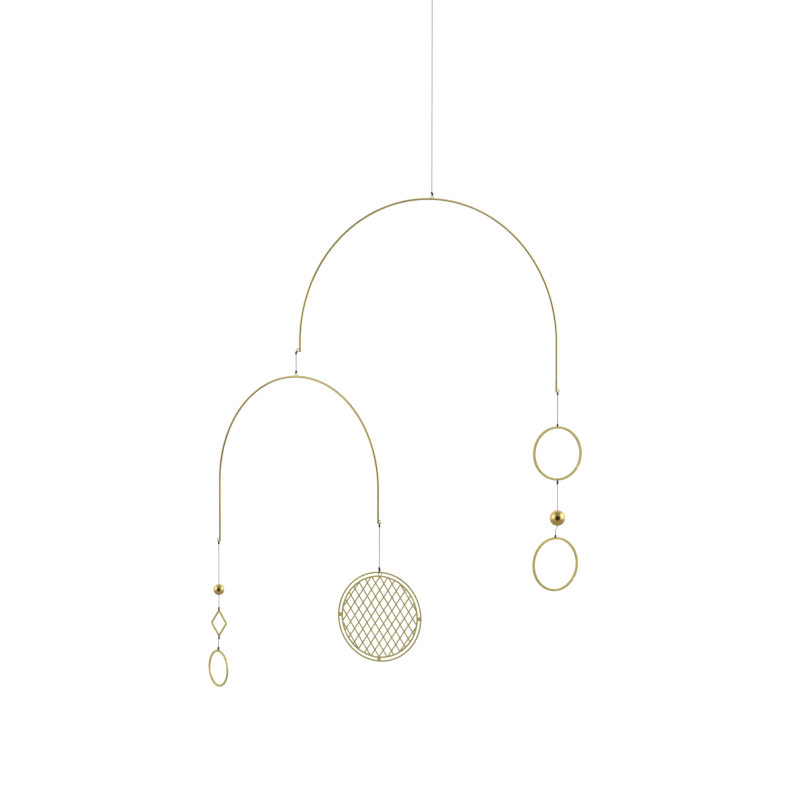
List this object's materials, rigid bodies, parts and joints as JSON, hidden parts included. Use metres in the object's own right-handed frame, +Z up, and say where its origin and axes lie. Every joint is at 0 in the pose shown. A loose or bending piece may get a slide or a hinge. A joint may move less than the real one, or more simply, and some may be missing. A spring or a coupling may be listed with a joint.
{
  "type": "hanging mobile sculpture",
  "caption": "Balanced hanging mobile of brass wire arches that turn on black threads, with flat ring, diamond and lattice disc pendants and brass beads.",
  "frame": {"origin": "inside the top of the hanging ring, where a hook carries it", "axes": "+Z up along the hanging thread, +X along the upper arch towards its longer leg"},
  "size_m": [0.4538, 0.2955, 0.8638],
  "materials": {
    "brass": "satin polished, pale olive gold, faint brushed grain",
    "polished_brass": "mirror polished beads, warm gold",
    "black_thread": "matt twisted black thread"
  },
  "bodies": {
    "hanger": {"hanging_ring": "brass", "hanging_thread": "black_thread"},
    "upper_arm": {"upper_arch": "brass", "link_thread": "black_thread", "right_upper_thread": "black_thread", "large_ring_upper": "brass", "right_lower_thread": "black_thread", "large_bead": "polished_brass", "large_ring_lower": "brass"},
    "lower_arm": {"lower_arch": "brass", "left_upper_thread": "black_thread", "small_bead": "polished_brass", "diamond": "brass", "left_lower_thread": "black_thread", "small_ring": "brass", "disc_thread": "black_thread", "lattice_disc": "brass"}
  },
  "joints": [
    {"name": "upper_swivel", "type": "hinge", "parent": "hanger", "child": "upper_arm", "pos_m": [0, 0, -0.2572], "axis": [0, 0, 1], "continuous": true},
    {"name": "lower_swivel", "type": "hinge", "parent": "upper_arm", "child": "lower_arm", "pos_m": [-0.18, 0, -0.4736], "axis": [0, 0, 1], "continuous": true}
  ]
}
